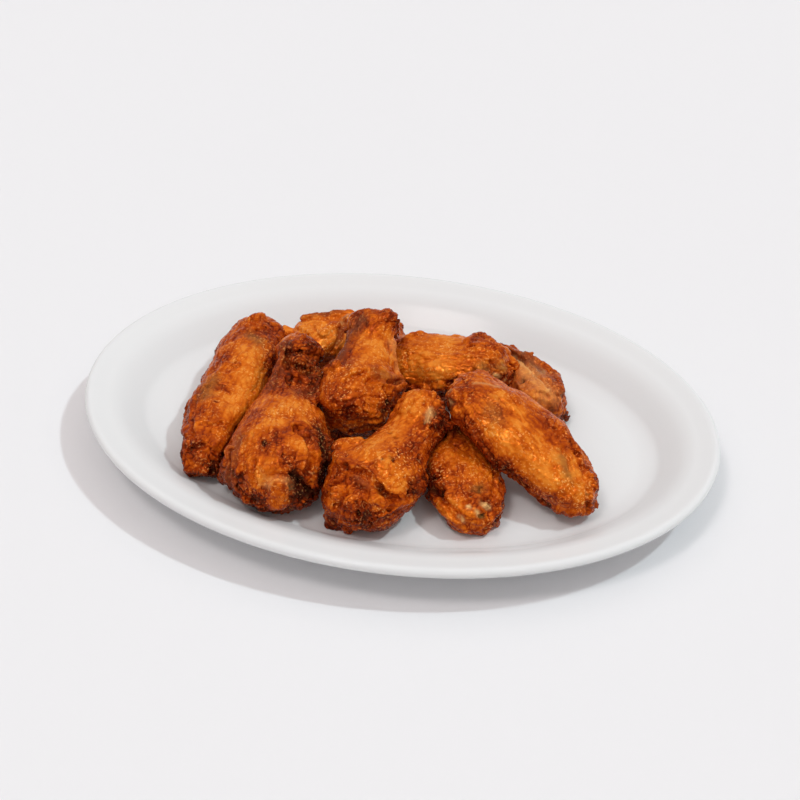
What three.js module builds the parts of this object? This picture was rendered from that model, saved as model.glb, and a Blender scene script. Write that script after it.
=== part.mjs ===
// Fried chicken wings, drumettes and flats, heaped on an oval platter with a rolled edge.
// Millimetres, +Z up. The origin is on the table under the middle of the platter, and +X runs along its length.
import * as THREE from "three";

// Driving dimensions of the platter.
const PLATTER_LENGTH = 270;
const PLATTER_WIDTH = 186;
const CREST_HEIGHT = 22; // top of the rolled edge above the table
const WELL_FLOOR = 9; // where the food lies
const BASE_THICKNESS = 4.5;
const LIP_ROLL = 2.2; // radius of the rolled edge
const RIM_BAND = 9; // sloping band between the roll and the wall of the well
const RIM_RISE = 2.5;
const RIM_MIDDLE = [0.4, 0.38]; // shares of the band and of its rise where the rim bends a little
const WALL_RUN = 18;
const WALL_SOFTNESS = 0.5; // 0 is a straight wall, 1 an S with level ends
const WALL_THICKNESS = 4;
const FOOT_INSET = 33; // from the outline to the outside of the foot ring
const FOOT_WIDTH = 4.5;
const FOOT_CHAMFER = 1;
const FOOT_FLARE = [4, 0.8]; // how far outside the foot, and how far above the base, the underside bends
const FOOT_INNER = [1.5, 0.6]; // slope and fillet inside the foot
const FLOOR_RING = 14; // from the wall's foot to the innermost ring of points
const FLOOR_EASE = 2; // the floor starts to rise this far before the wall
const FLOOR_LIFT = 0.2;
const WALL_STEPS = 5;
const ROLL_STEPS = 6;
const ROLL_START = 0.55; // half turns, from the inner side of the crest
const ROLL_SWEEP = 1.15;
const PLATTER_STEPS = 64;

// Driving dimensions of the pieces.
const ROWS = 22; // rings along a piece
const COLUMNS = 22; // points round a ring
const CLEARANCE = 0.85; // kept to a neighbour that was laid before
const PLATE_CLEARANCE = 0.45;
const UNEVEN = 1.4; // depth of the random unevenness of the skin
const UNEVEN_SIZE = 12; // size of one hollow or swelling of it

// Share of the half width and half height along a drumette, from the bone's knob to the shoulder end.
const DRUMETTE = {
  stations: [0, 0.07, 0.2, 0.36, 0.52, 0.7, 0.87, 1],
  wide: [0.4, 0.5, 0.4, 0.52, 0.82, 1, 0.92, 0.7],
  high: [0.42, 0.54, 0.44, 0.56, 0.82, 1, 0.94, 0.74],
  caps: [0.1, 0.16],
  corners: 2.1,
};

// A drumette with more meat left on its shaft.
const STOUT_DRUMETTE = {
  stations: [0, 0.1, 0.28, 0.45, 0.62, 0.8, 0.92, 1],
  wide: [0.52, 0.62, 0.56, 0.76, 0.96, 1, 0.95, 0.82],
  high: [0.5, 0.6, 0.56, 0.74, 0.94, 1, 0.95, 0.82],
  caps: [0.1, 0.13],
  corners: 2.2,
};

// The same along a flat, from the elbow to the wrist.
const FLAT = {
  stations: [0, 0.1, 0.28, 0.5, 0.72, 0.9, 1],
  wide: [0.62, 0.76, 0.95, 1, 0.95, 0.74, 0.6],
  high: [0.8, 0.92, 1, 0.98, 0.94, 0.88, 0.8],
  caps: [0.13, 0.13],
  corners: 2.5,
};

// One entry for each piece. Tail and head are the tips of its bone line, and bend bows that line sideways and up.
// A swelling is [along, around, height, spread]: along is a share of the length, around is degrees from the side,
// 90 being the top, and the rest are millimetres. A piece yields to every piece listed before it.
const PIECES = [
  {
    name: "flat_right_front",
    form: FLAT,
    tail: [25, 1, 43],
    head: [88, -33, 17],
    halfWidth: 17,
    halfHeight: 10,
    bend: [0, 2],
    swellings: [
      [0.04, 130, 2, 7],
      [0.55, 15, 1.6, 9],
      [0.85, 20, 1.2, 8],
      [0.97, 150, 1.5, 6],
    ],
  },
  {
    name: "drumette_left_front",
    form: DRUMETTE,
    tail: [-47, 18, 36],
    head: [-35, -68, 21.5],
    halfWidth: 22,
    halfHeight: 17,
    bend: [0, -1],
    swellings: [
      [0.93, 75, 3, 7],
      [0.97, 270, 1.5, 6],
      [0.7, 0, 2, 8],
      [0.82, 195, 3, 7],
    ],
  },
  {
    name: "drumette_front",
    form: STOUT_DRUMETTE,
    tail: [19, -6, 37],
    head: [-4, -69, 19],
    halfWidth: 17.5,
    halfHeight: 14,
    bend: [0, 0],
    swellings: [
      [0.08, 180, 2.5, 5],
      [0.96, 215, 2.5, 5],
      [0.62, 0, 3.5, 7],
      [0.72, 150, 3.5, 7],
      [0.9, 180, 2, 5],
      [0.95, 320, -3.5, 7],
    ],
  },
  {
    name: "drumette_middle",
    form: STOUT_DRUMETTE,
    tail: [-16, 33, 44],
    head: [-17, -21, 24],
    halfWidth: 17,
    halfHeight: 15,
    bend: [0, 0],
    swellings: [
      [0.07, 180, 3, 6],
      [0.68, 0, 2, 6],
    ],
  },
  {
    name: "flat_front",
    form: FLAT,
    tail: [24, -3, 20],
    head: [46, -55, 14],
    halfWidth: 15,
    halfHeight: 10,
    bend: [0, 2],
    swellings: [
      [0.6, 180, 1.5, 6],
    ],
  },
  {
    name: "flat_back",
    form: FLAT,
    tail: [-20, 29, 18],
    head: [43, 28, 27],
    halfWidth: 15,
    halfHeight: 12,
    bend: [0, 1],
    swellings: [
      [0.8, 75, 3, 6],
      [0.4, 60, 1.5, 8],
    ],
  },
  {
    name: "flat_left",
    form: FLAT,
    tail: [-71, 41, 23],
    head: [-70, -53, 17],
    halfWidth: 15,
    halfHeight: 11,
    bend: [0, 2],
    swellings: [
      [0.08, 0, 2, 7],
      [0.86, 180, -1.2, 4],
    ],
  },
  {
    name: "flat_back_left",
    form: FLAT,
    tail: [-58, 33, 18],
    head: [-10, 51, 18],
    halfWidth: 14,
    halfHeight: 10,
    bend: [0, 2],
    swellings: [
      [0.75, 90, 3, 5],
    ],
  },
  {
    name: "drumette_back_right",
    form: STOUT_DRUMETTE,
    tail: [32, 55, 16],
    head: [60, 12, 17],
    halfWidth: 14,
    halfHeight: 12,
    bend: [0, 0],
    swellings: [
      [0.45, 60, 2.5, 8],
      [0.9, 90, 2, 5],
    ],
  },
];

// The platter's upper face from the well out to the roll's crest, as pairs of the distance in from the outline
// and the height.
function upperProfile() {
  const wallTop = LIP_ROLL + RIM_BAND;
  const wallFoot = wallTop + WALL_RUN;
  const rimLow = CREST_HEIGHT - RIM_RISE;
  const points = [
    [wallFoot + FLOOR_RING, WELL_FLOOR],
    [wallFoot + FLOOR_EASE, WELL_FLOOR + FLOOR_LIFT],
  ];
  for (let i = 1; i < WALL_STEPS; i += 1) {
    const t = i / WALL_STEPS;
    const ease = t + WALL_SOFTNESS * (t * t * (3 - 2 * t) - t);
    points.push([wallFoot - t * WALL_RUN, WELL_FLOOR + ease * (rimLow - WELL_FLOOR)]);
  }
  const [across, up] = RIM_MIDDLE;
  points.push([wallTop, rimLow], [wallTop - RIM_BAND * across, rimLow + RIM_RISE * up]);
  return points.concat(rollProfile().slice(0, 1));
}

// The rolled edge, from its inner side over the crest and round to its underside.
function rollProfile() {
  const points = [];
  for (let i = 0; i <= ROLL_STEPS; i += 1) {
    const angle = Math.PI * (ROLL_START - (ROLL_SWEEP * i) / ROLL_STEPS);
    points.push([
      LIP_ROLL * (1 - Math.cos(angle)),
      CREST_HEIGHT - LIP_ROLL + LIP_ROLL * Math.sin(angle),
    ]);
  }
  return points;
}

// The underside from the roll in to the foot ring and the middle.
function lowerProfile() {
  const [flareRun, flareDrop] = FOOT_FLARE;
  const [innerRun, innerDrop] = FOOT_INNER;
  const footEnd = FOOT_INSET + FOOT_WIDTH;
  return [
    [LIP_ROLL + RIM_BAND, CREST_HEIGHT - RIM_RISE - WALL_THICKNESS],
    [FOOT_INSET - flareRun, WELL_FLOOR - WALL_THICKNESS + flareDrop],
    [FOOT_INSET, FOOT_CHAMFER],
    [FOOT_INSET + FOOT_CHAMFER, 0],
    [footEnd, 0],
    [footEnd + innerRun, WELL_FLOOR - BASE_THICKNESS - innerDrop],
  ];
}

function closedGeometry(positions, indices) {
  const geometry = new THREE.BufferGeometry();
  geometry.setAttribute("position", new THREE.Float32BufferAttribute(positions, 3));
  geometry.setIndex(indices);
  geometry.computeVertexNormals();
  return geometry;
}

// Joins rings of equal length, with one pole point before the first ring and one after the last.
function ringsToIndices(ringCount, perRing) {
  const indices = [];
  const at = (ring, k) => 1 + ring * perRing + (k % perRing);
  const lastPole = 1 + ringCount * perRing;
  for (let k = 0; k < perRing; k += 1) {
    indices.push(0, at(0, k), at(0, k + 1));
    for (let ring = 0; ring + 1 < ringCount; ring += 1) {
      indices.push(at(ring, k), at(ring + 1, k), at(ring + 1, k + 1));
      indices.push(at(ring, k), at(ring + 1, k + 1), at(ring, k + 1));
    }
    indices.push(lastPole, at(ringCount - 1, k + 1), at(ringCount - 1, k));
  }
  return indices;
}

function platterGeometry() {
  const rings = [...upperProfile(), ...rollProfile().slice(1), ...lowerProfile()];
  const positions = [0, 0, WELL_FLOOR];
  for (const [inset, z] of rings) {
    for (let k = 0; k < PLATTER_STEPS; k += 1) {
      const angle = (2 * Math.PI * k) / PLATTER_STEPS;
      positions.push(
        (PLATTER_LENGTH / 2 - inset) * Math.cos(angle),
        (PLATTER_WIDTH / 2 - inset) * Math.sin(angle),
        z,
      );
    }
  }
  positions.push(0, 0, WELL_FLOOR - BASE_THICKNESS);
  return closedGeometry(positions, ringsToIndices(rings.length, PLATTER_STEPS));
}

const UPPER_PROFILE = upperProfile();

// Height of the platter's upper face at a point.
function platterTop(x, y) {
  const outward = Math.hypot(x / (PLATTER_LENGTH / 2), y / (PLATTER_WIDTH / 2));
  if (outward < 0.01) return WELL_FLOOR;
  const inset = Math.hypot(x, y) / outward - Math.hypot(x, y);
  for (let i = 1; i < UPPER_PROFILE.length; i += 1) {
    const [outer, high] = UPPER_PROFILE[i];
    const [inner, low] = UPPER_PROFILE[i - 1];
    if (inset <= inner && inset > outer) {
      return low + ((inner - inset) / (inner - outer)) * (high - low);
    }
  }
  return inset > UPPER_PROFILE[0][0] ? WELL_FLOOR : CREST_HEIGHT;
}

// Repeatable random number from 0 to 1 for a point of a whole-number grid.
function gridValue(i, j, k, seed) {
  const wave = Math.sin(i * 127.1 + j * 311.7 + k * 74.7 + seed * 53.3) * 43758.5453;
  return wave - Math.floor(wave);
}

// Smooth noise from -1 to 1.
function noise(x, y, z, seed) {
  const cell = [Math.floor(x), Math.floor(y), Math.floor(z)];
  const ease = [x - cell[0], y - cell[1], z - cell[2]].map((t) => t * t * (3 - 2 * t));
  let sum = 0;
  for (let corner = 0; corner < 8; corner += 1) {
    const step = [corner & 1, (corner >> 1) & 1, (corner >> 2) & 1];
    const weight = step.reduce((w, on, axis) => w * (on ? ease[axis] : 1 - ease[axis]), 1);
    sum += weight * gridValue(cell[0] + step[0], cell[1] + step[1], cell[2] + step[2], seed);
  }
  return 2 * sum - 1;
}

// Smooth curve through values at uneven stations.
function along(stations, values, s) {
  let i = 0;
  while (i < stations.length - 2 && s > stations[i + 1]) i += 1;
  const t = (s - stations[i]) / (stations[i + 1] - stations[i]);
  const ease = t * t * (3 - 2 * t);
  return values[i] + ease * (values[i + 1] - values[i]);
}

// Rounds a piece off at its two tips.
function capping(caps, s) {
  const start = s < caps[0] ? Math.sqrt(Math.max(0, 1 - (1 - s / caps[0]) ** 2)) : 1;
  const end = 1 - s < caps[1] ? Math.sqrt(Math.max(0, 1 - (1 - (1 - s) / caps[1]) ** 2)) : 1;
  return start * end;
}

// The frame of a piece: X from tail to head, Z its upper side.
function pieceFrame(piece) {
  const tail = new THREE.Vector3(...piece.tail);
  const head = new THREE.Vector3(...piece.head);
  const x = head.clone().sub(tail);
  const length = x.length();
  x.normalize();
  const y = new THREE.Vector3(0, 0, 1).cross(x).normalize();
  const z = x.clone().cross(y);
  return { origin: tail, x, y, z, length };
}

// Offset of the bowed bone line at a share of the length.
function bowOffset(piece, s) {
  const bow = 4 * s * (1 - s);
  return [piece.bend[0] * bow, piece.bend[1] * bow];
}

function plainRadius(piece, s, angle) {
  const { form } = piece;
  const cap = capping(form.caps, s);
  const wide = piece.halfWidth * along(form.stations, form.wide, s) * cap;
  const high = piece.halfHeight * along(form.stations, form.high, s) * cap;
  if (wide < 1e-6 || high < 1e-6) return 0;
  const n = form.corners;
  const sum = Math.abs(Math.cos(angle) / wide) ** n + Math.abs(Math.sin(angle) / high) ** n;
  return sum ** (-1 / n);
}

function localPoint(piece, length, s, angle, radius) {
  const [dy, dz] = bowOffset(piece, s);
  return [s * length, dy + radius * Math.cos(angle), dz + radius * Math.sin(angle)];
}

// Distance of the skin from the bowed bone line, swellings and unevenness included.
function skinRadius(piece, length, s, angle) {
  const plain = plainRadius(piece, s, angle);
  const here = localPoint(piece, length, s, angle, plain);
  let radius = plain;
  for (const [share, around, height, spread] of piece.swellings) {
    const facing = THREE.MathUtils.degToRad(around);
    const centre = localPoint(piece, length, share, facing, plainRadius(piece, share, facing));
    const gap = Math.hypot(here[0] - centre[0], here[1] - centre[1], here[2] - centre[2]);
    radius += height * Math.exp(-0.5 * (gap / spread) ** 2) * Math.min(1, plain / 4);
  }
  const rough = noise(...here.map((c) => c / UNEVEN_SIZE), piece.seed);
  return radius + UNEVEN * rough * Math.min(1, plain / 6);
}

function toWorld(frame, [x, y, z]) {
  return frame.origin
    .clone()
    .addScaledVector(frame.x, x)
    .addScaledVector(frame.y, y)
    .addScaledVector(frame.z, z);
}

// How far a point lies inside the skin of a piece, counted along its radius; negative outside.
function depthInside(piece, frame, point) {
  const from = point.clone().sub(frame.origin);
  const s = from.dot(frame.x) / frame.length;
  if (s <= 0 || s >= 1) return -Infinity;
  const [dy, dz] = bowOffset(piece, s);
  const y = from.dot(frame.y) - dy;
  const z = from.dot(frame.z) - dz;
  return skinRadius(piece, frame.length, s, Math.atan2(z, y)) - Math.hypot(y, z);
}

function isFree(point, laid) {
  if (point.z < platterTop(point.x, point.y) + PLATE_CLEARANCE) return false;
  return laid.every(({ piece, frame }) => depthInside(piece, frame, point) < -CLEARANCE);
}

// A piece pressed against the platter and the pieces laid before it.
function pieceGeometry(piece, frame, laid) {
  const positions = [];
  const push = (p) => positions.push(p.x, p.y, p.z);
  const shrinkSteps = 50;
  const placed = (s, angle) => {
    const radius = skinRadius(piece, frame.length, s, angle);
    for (let step = 0; step < shrinkSteps; step += 1) {
      const share = 1 - step / shrinkSteps;
      const point = toWorld(frame, localPoint(piece, frame.length, s, angle, radius * share));
      if (isFree(point, laid)) return point;
    }
    return toWorld(frame, localPoint(piece, frame.length, s, angle, radius / shrinkSteps));
  };
  push(placed(0.0005, 0));
  for (let row = 1; row <= ROWS; row += 1) {
    const s = 0.5 - 0.5 * Math.cos((Math.PI * row) / (ROWS + 1));
    for (let column = 0; column < COLUMNS; column += 1) {
      push(placed(s, (2 * Math.PI * column) / COLUMNS));
    }
  }
  push(placed(0.9995, 0));
  return closedGeometry(positions, ringsToIndices(ROWS, COLUMNS).reverse());
}

const glazedWhite = new THREE.MeshStandardMaterial({ color: 0xf1f0ee, roughness: 0.15, metalness: 0 });
const friedSkin = new THREE.MeshStandardMaterial({ color: 0xb35a1c, roughness: 0.45, metalness: 0 });

const serving = new THREE.Group();

const platter = new THREE.Mesh(platterGeometry(), glazedWhite);
platter.name = "platter";
serving.add(platter);

const laid = [];
PIECES.forEach((entry, index) => {
  const piece = { ...entry, seed: index + 1 };
  const frame = pieceFrame(piece);
  const mesh = new THREE.Mesh(pieceGeometry(piece, frame, laid), friedSkin);
  mesh.name = piece.name;
  serving.add(mesh);
  laid.push({ piece, frame });
});

export default serving;
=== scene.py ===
# Fried chicken wing pieces heaped on a glazed white oval platter.
# The scene is in metres. The values below are in millimetres, and photo places are in its 800 by 800 pixels.
import math
import random

import bpy
import bmesh
import numpy as np
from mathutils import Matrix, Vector
from mathutils.bvhtree import BVHTree


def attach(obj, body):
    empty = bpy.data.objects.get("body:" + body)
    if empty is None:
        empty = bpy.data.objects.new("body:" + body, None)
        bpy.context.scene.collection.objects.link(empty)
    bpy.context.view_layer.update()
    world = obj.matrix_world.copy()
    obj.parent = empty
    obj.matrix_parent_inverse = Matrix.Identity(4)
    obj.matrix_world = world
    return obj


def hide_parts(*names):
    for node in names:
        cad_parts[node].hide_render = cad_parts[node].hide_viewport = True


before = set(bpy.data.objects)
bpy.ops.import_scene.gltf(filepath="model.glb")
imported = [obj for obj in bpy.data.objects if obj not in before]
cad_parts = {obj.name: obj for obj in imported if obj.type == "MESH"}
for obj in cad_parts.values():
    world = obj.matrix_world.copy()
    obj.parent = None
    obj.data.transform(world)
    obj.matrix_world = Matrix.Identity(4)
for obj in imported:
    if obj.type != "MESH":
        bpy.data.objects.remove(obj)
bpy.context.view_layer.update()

MM = 0.001

# The camera, fitted to the platter's outer edge.
CAMERA_AZIMUTH = 14.3
CAMERA_ELEVATION = 40.5
CAMERA_DISTANCE = 876
CAMERA_AIM = (-6.9, 30.8, 0)
LENS = 90
SENSOR = 36
PHOTO_SIZE = 800

# The light: a distant lamp, a sky that is dim at its foot and bright above, and a small bright panel.
KEY_ELEVATION = 58
KEY_TURN = 90  # degrees to the right of the camera
KEY_ANGLE = 3.5
KEY_STRENGTH = 0.96
KEY_COLOUR = (0.825, 0.965, 1.0)
SKY_COLOUR = (1.0, 0.935, 0.92)
SKY_STEPS = [(0.0, 0.40), (0.5, 0.44), (0.7, 0.58), (0.85, 0.92), (1.0, 0.92)]  # height, brightness
PANEL_DIRECTION = (-0.185, -0.34, 0.92)
PANEL_STEPS = [(0.992, 0.0), (0.996, 16.0)]  # cosine of the angle from its middle, and brightness

# The floor, in metres.
FLOOR_HALF = 4
FLOOR_COLOURS = [(0.3, (0.828, 0.83, 0.845)), (0.7, (0.833, 0.835, 0.85))]

# The platter, as in the solid. A section point is (distance in from the outline, height).
PLATTER_LENGTH = 270
PLATTER_WIDTH = 186
CREST_HEIGHT = 22
WELL_FLOOR = 9
WELL_EDGE = [(14, 0), (7, 0), (2, 0.2)]  # in from the wall's foot, and above the floor
BASE_THICKNESS = 4.5
BASE_EDGE = [(1, -1), (3, 0)]  # in from the foot ring, and above the base's underside
LIP_ROLL = 2.2
ROLL_START = 0.55  # half turns
ROLL_TURN = 1.15
ROLL_STEPS = 12
RIM_BAND = 9
RIM_RISE = 2.5
RIM_MIDDLE = (0.4, 0.38)
WALL_RUN = 18
WALL_SOFTNESS = 0.5
WALL_STEPS = 5
WALL_THICKNESS = 4
WALL_END = (-4, 0.8)  # from the foot ring, and above the wall's underside
FOOT_INSET = 33
FOOT_WIDTH = 4.5
FOOT_OUTSIDE = [(0, 1.2), (0.3, 0.5), (1.2, 0.02)]
FOOT_INSIDE = [(-0.6, 0.02), (0, 0.5)]
CURVE_STEPS = 4
PLATTER_STEPS = 256
GLAZE_COLOURS = [(0.3, (0.786, 0.797, 0.801)), (0.7, (0.790, 0.801, 0.805))]

# How the food meshes are made.
WELD_GAP = 0.01
ANY_ANGLE = 3.2
SMOOTH_LEVELS = 2
VOXEL = 0.42
BLEND_STEPS = 4  # smoothing passes that melt added rolls of skin into a piece
REACH = 5  # how far a roll may stand off the solid to meet its place in the photo
CLOSING_STEPS = 4  # in the search for the spot that a line of sight passes closest
BEAD_GAP = 0.3  # this and the next three are shares of a roll's radius
BEAD_SIZES = (0.82, 1.12)
BEAD_SINK = 0.35
LINK_GAP = 0.5

# The random folds and lumps on the sides that the photo doesn't show.
HIDDEN_FOLDS = 16
HIDDEN_START = 150
HIDDEN_SCATTER = 30
HIDDEN_FACING = -0.05
HIDDEN_LENGTHS = (6, 16)
HIDDEN_RADII = (1.2, 2.4)
HIDDEN_DEPTH = 1.2
HIDDEN_BANK = 1 / 3

# The relief of the skin. A pair is the amount on soft skin, and how much more there is on rough skin.
CREASE_BANK = 0.3  # the height of a crease's banks, as a share of its depth
SWELLING = 0.7
DENTS = 0.45
FORM_SHARE = (0.6, 0.6)
FOLD_DEPTH = 1.1
WRINKLE_DEPTH = 0.38
WRINKLE_SHARE = (0.4, 0.6)
CROSS_DEPTH = 0.44
CROSS_SHARE = (0.15, 0.85)
BLISTER_RISE = (0.05, 0.42)
PIMPLE_RISE = (0.07, 0.14)
STREAK_RISE = 0.16
GRAIN_RISE = (0.04, 0.06)
CRISP_GRAIN = 0.26
CRISP_GRIT = 1.1

# How brown the skin is: 0 is golden, and 1 is nearly black.
GOLD_TONE = 0.1
BROWN_GAIN = 0.3
CRISP_GAIN = 0.15
# Painted shade: skin that doesn't face up is painted browner, up to a limit.
SIDE_SHADE_GAIN = 0.5  # on skin that doesn't face up
SIDE_SHADE_LIMIT = 0.6
STREAK_GAIN = 0.17
# Painted shade and highlight: wrinkle grooves are painted browner, and the fine relief lighter on its tops
# and browner in its dips.
WRINKLE_SHADE_GAIN = 0.24
# Painted shade: pits are painted browner, and the deepest ones black.
PIT_SHADE_GAIN = (0.2, 0.3)
RELIEF_SHADE_GAIN = 0.8
ROUGH_FROM = 0.2  # browner skin than this is rough
PIT_SHADE_FROM = 0.7  # painted shade: deeper pits than this are painted black

# Colours of the skin.
SKIN_COLOURS = [
    (0.0, (0.82, 0.245, 0.024)),
    (0.2, (0.66, 0.134, 0.006)),
    (0.4, (0.47, 0.072, 0.003)),
    (0.6, (0.30, 0.032, 0.002)),
    (0.8, (0.165, 0.013, 0.001)),
    (1.0, (0.06, 0.004, 0.001)),
]
# The char colour paints charred skin, and painted shade in holes, pits and gaps between pieces.
CHAR_AND_SHADE_COLOUR = (0.03, 0.008, 0.004)
SHEEN_COLOUR = (1.0, 0.58, 0.22)
# Painted glints and highlights are mixed toward this colour.
GLINT_COLOUR = (1.0, 0.60, 0.22)
# The cream colour paints cream cartilage and crumbs, and painted highlights.
CREAM_AND_HIGHLIGHT_COLOUR = (0.92, 0.58, 0.22)
OLIVE_COLOUR = (0.26, 0.13, 0.03)
PLUM_COLOUR = (0.20, 0.042, 0.016)
TINTS = ("gold", "brown", "char", "cream", "olive", "plum", "crisp", "gleam")

# Each piece of wing: its bone line from tail to head, how brown it is, and what the photo shows on it.
# A path is a list of photo places. rolls are thick folds and lobes: (radius, path). creases are
# (width, depth, path). lumps are (spread, height, path), a pit having a negative height. Tints are
# (weight, spread, path). The gleam tints are painted highlights. The char tints are charred skin, and
# painted shade in holes and gaps between pieces. The cream tints are cream cartilage and crumbs, and
# painted highlights.
WINGS = {}
WINGS["flat_left"] = {
    "bone": ((-71, 41, 23), (-70, -53, 17)),
    "tone": 0.44,
    "rolls": [
        (2, [(189, 402), (185, 417), (186, 436)]), (3, [(186, 456), (190, 467), (204, 473)]),
        (2.6, [(262, 317), (252, 319)]), (1.8, [(238, 365), (226, 361), (218, 372)]),
    ],
    "creases": [
        (0.8, 0.4, [(270, 334), (270, 350), (264, 371), (254, 391)]),
        (0.9, 1.2, [(196, 398), (192, 415), (193, 434), (189, 446)]),
        (0.8, 0.9, [(207, 386), (221, 385), (229, 393)]), (0.8, 0.9, [(199, 423), (212, 426), (222, 423)]),
        (0.8, 0.9, [(206, 452), (213, 462), (211, 473)]), (0.7, 0.8, [(246, 326), (257, 330), (266, 327)]),
        (0.9, 1, [(225, 360), (236, 363), (243, 358)]), (1, 1.3, [(183, 446), (193, 449), (203, 445)]),
    ],
    "lumps": [
        (8, -1.3, [(222, 330), (203, 362), (190, 388)]), (4, 0.9, [(250, 352), (253, 372)]),
        (0.7, 0.7, [(189, 474)]), (0.7, 0.7, [(196, 475)]), (0.8, 0.7, [(207, 475)]), (5, 0.8, [(212, 402)]),
        (1.6, 0.9, [(205, 436)]), (1.6, 0.9, [(214, 443)]), (1.6, 0.9, [(200, 458)]),
        (1, -1.3, [(236, 362)]), (1, -1.2, [(216, 402)]),
    ],
    "gold": [
        (0.95, 6.5, [(245, 348), (254, 370), (244, 388), (234, 410)]), (0.7, 1.2, [(188, 474), (198, 476)]),
        (0.6, 4, [(226, 418), (244, 405)]), (0.7, 1.2, [(207, 475)]),
    ],
    "brown": [
        (0.8, 3, [(274, 328), (275, 350), (268, 375)]), (0.55, 6, [(196, 445), (205, 462)]),
        (0.6, 4, [(225, 352), (208, 372)]),
    ],
    "char": [(0.8, 0.9, [(236, 362)]), (0.8, 0.9, [(216, 402)])],
    "olive": [(0.5, 3, [(251, 335), (258, 341)]), (0.45, 3.2, [(213, 379), (205, 395)])],
    "crisp": [(0.3, 7, [(192, 440), (205, 462)])],
    "gleam": [(0.6, 3, [(262, 340), (264, 362), (256, 384)]), (0.5, 3, [(198, 448), (206, 464)])],
}
WINGS["drumette_left_front"] = {
    "bone": ((-47, 18, 36), (-35, -68, 21.5)),
    "tone": 0.5,
    "rolls": [
        (4.6, [(279, 488), (277, 501)]), (3.8, [(266, 471)]), (2.3, [(315, 480), (314, 488)]),
        (2, [(291, 424), (303, 425), (312, 435), (317, 449), (317, 463), (315, 476)]),
        (1.6, [(321, 438), (325, 452), (323, 466)]), (3, [(327, 440), (330, 452), (328, 464)]),
        (2.8, [(229, 452), (225, 467), (222, 481)]), (1.8, [(235, 455), (233, 470)]),
        (2.3, [(284, 345), (278, 368), (271, 391)]), (3.2, [(294, 344), (308, 346)]),
        (3, [(297, 358), (311, 363)]), (2.8, [(296, 374), (308, 380), (316, 376)]),
        (3.2, [(316, 372), (321, 384), (321, 398)]), (3, [(246, 498), (262, 507)]),
        (3.2, [(300, 503), (313, 498)]), (2, [(247, 440), (241, 456), (239, 473)]),
    ],
    "creases": [
        (1, 1, [(263, 488), (269, 479), (276, 475), (286, 477), (291, 486), (290, 500), (293, 512)]),
        (1.2, 2.2, [(295, 430), (305, 437), (310, 448), (311, 461), (308, 473)]),
        (1.1, 0.8, [(250, 437), (246, 451), (243, 466), (243, 481)]), (0.5, 0.4, [(289, 399), (286, 414)]),
        (0.5, 0.45, [(275, 401), (267, 413), (258, 424)]), (0.5, 0.45, [(281, 401), (275, 414), (268, 425)]),
        (0.8, 1.5, [(319, 441), (321, 453), (319, 466)]), (1.1, 1.9, [(288, 352), (289, 368), (289, 388)]),
        (0.9, 1.6, [(296, 477), (302, 484), (312, 495)]), (0.9, 1.3, [(254, 460), (251, 473), (257, 484)]),
        (0.9, 1.5, [(233, 452), (231, 467), (229, 480)]), (0.6, 0.5, [(309, 397), (314, 412), (320, 425)]),
        (0.9, 1.3, [(292, 350), (300, 353), (312, 350)]), (0.9, 1.3, [(290, 366), (301, 367), (314, 371)]),
        (0.7, 0.8, [(272, 428), (262, 436), (258, 448)]), (0.6, 0.7, [(270, 450), (283, 455), (292, 465)]),
        (1, 1.2, [(238, 488), (250, 499), (264, 506)]), (0.5, 0.4, [(300, 398), (302, 413)]),
    ],
    "lumps": [
        (1.7, -3.6, [(294, 474)]), (1.1, -1.2, [(264, 443)]), (1.2, -1.4, [(304, 360)]),
        (1.2, -1.6, [(300, 370)]), (1.1, -1.3, [(309, 374)]), (1.2, -1.4, [(292, 377)]),
        (1.3, 1.3, [(300, 340)]), (1.2, 1.2, [(314, 352)]), (1.3, 0.9, [(260, 479)]), (5, 1.2, [(300, 446)]),
        (1.2, 0.9, [(271, 468)]), (1.2, -2, [(301, 484)]), (4, 0.8, [(285, 412)]),
    ],
    "gold": [
        (0.9, 4.5, [(282, 421), (264, 424), (256, 432)]), (1, 5.5, [(279, 409), (292, 406), (309, 407)]),
        (0.85, 4.2, [(279, 489), (278, 503)]), (0.8, 4, [(292, 442), (304, 450)]), (0.8, 1.8, [(315, 482)]),
        (1, 5, [(266, 471), (262, 479)]),
    ],
    "brown": [
        (0.2, 5, [(247, 470), (250, 492), (266, 510)]), (0.3, 5, [(278, 445), (284, 458)]),
        (0.6, 3, [(300, 428), (310, 436)]),
    ],
    "char": [
        (0.75, 4.6, [(299, 364), (308, 372), (317, 368), (320, 384)]), (0.45, 5, [(312, 356), (320, 366)]),
        (0.95, 3.4, [(319, 428), (322, 448), (324, 466), (318, 482)]), (0.8, 3, [(300, 492), (316, 490)]),
        (1, 2, [(294, 474), (301, 483)]), (0.9, 1.8, [(264, 443)]),
    ],
    "cream": [
        # Painted highlights: a pale line along the rim of the cap, and a glint on the bone end.
        (0.25, 1.6, [(266, 487), (271, 481), (278, 479), (286, 482), (289, 489)]),
        (0.5, 0.6, [(293, 360), (294, 364)]),
    ],
    "plum": [
        (0.65, 3.5, [(240, 440), (234, 462), (228, 478)]), (0.7, 3, [(285, 345), (279, 367), (272, 388)]),
        (0.6, 3, [(296, 392), (308, 392)]),
    ],
    "crisp": [
        (0.75, 8, [(298, 345), (308, 365), (320, 388)]), (0.25, 6, [(244, 470), (250, 494), (268, 510)]),
        (0.9, 6, [(300, 492), (318, 492)]), (0.5, 5, [(322, 430), (326, 462)]),
    ],
    "gleam": [
        (0.8, 3.6, [(276, 412), (292, 408), (306, 412)]), (0.8, 2.4, [(274, 484), (280, 498)]),
        (1, 1.8, [(294, 356), (295, 368)]),
    ],
}
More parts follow.
